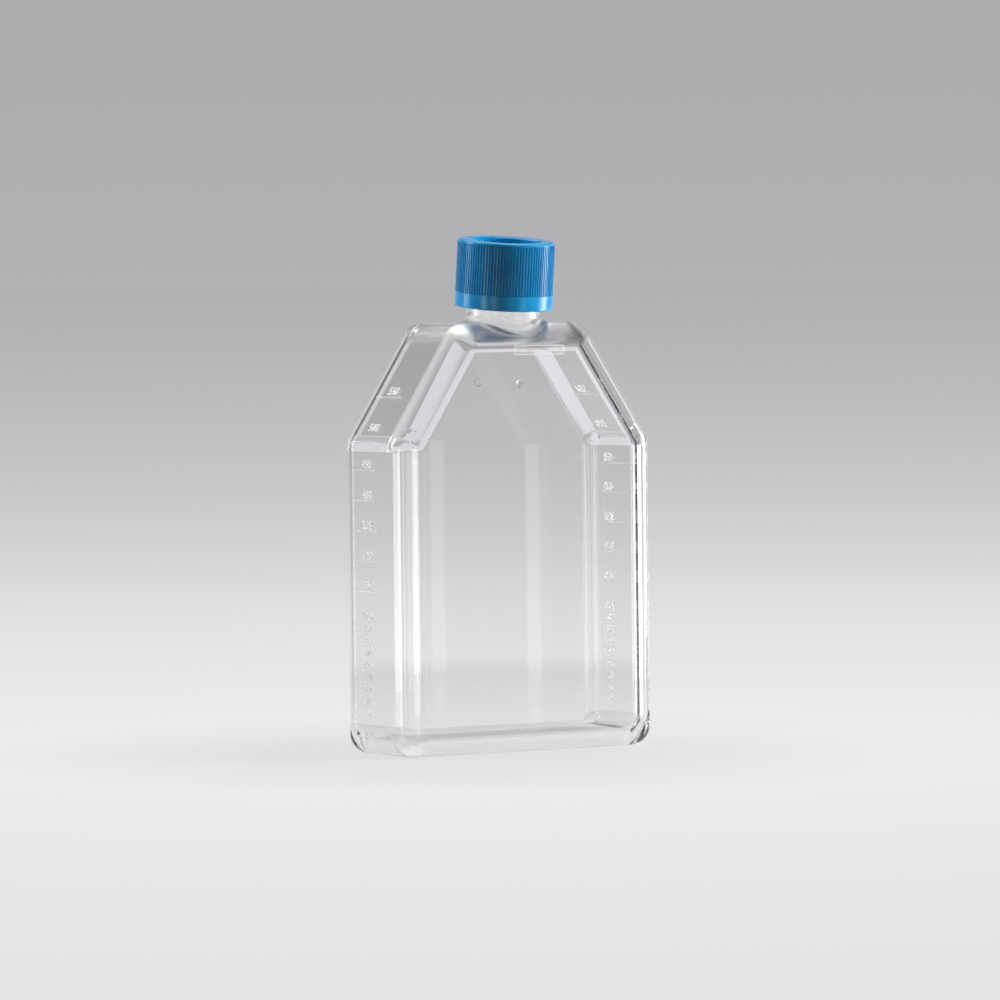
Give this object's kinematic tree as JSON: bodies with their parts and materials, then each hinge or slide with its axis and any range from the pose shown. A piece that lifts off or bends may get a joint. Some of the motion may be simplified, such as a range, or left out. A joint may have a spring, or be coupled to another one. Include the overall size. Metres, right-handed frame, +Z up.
{
  "type": "cell culture flask",
  "caption": "Clear flat-sided cell culture flask with sloping shoulders, graduated sides, a canted screw neck and a blue vented screw cap.",
  "frame": {"origin": "centre of the flat base that the flask stands on", "axes": "+Z up towards the cap, -Y out of the front face, +Y out of the growth face, X across the broad faces"},
  "size_m": [0.1154, 0.0465, 0.1963],
  "materials": {
    "clear_body": "clear moulded polystyrene",
    "clear_plate": "clear moulded polystyrene",
    "blue_cap": "satin moulded polyethylene",
    "membrane": "matt white porous film",
    "seal": "soft translucent"
  },
  "bodies": {
    "flask": {"flask_shell": "clear_body", "growth_plate": "clear_plate"},
    "liner": {"seal_ring": "seal"},
    "cap": {"cap_shell": "blue_cap", "vent_membrane": "membrane"}
  },
  "joints": [
    {"name": "cap_lift", "type": "slide", "parent": "flask", "child": "liner", "axis": [0, -0.1097, 0.994], "range_m": [0, 0.007]},
    {"name": "cap_turn", "type": "hinge", "parent": "liner", "child": "cap", "pos_m": [0, -0.0034, 0.163], "axis": [0, -0.1097, 0.994], "range_deg": [0, 630]}
  ],
  "couplings": [
    {"joint": "cap_lift", "follows": "cap_turn", "m_per_rad": 0.00063662}
  ]
}
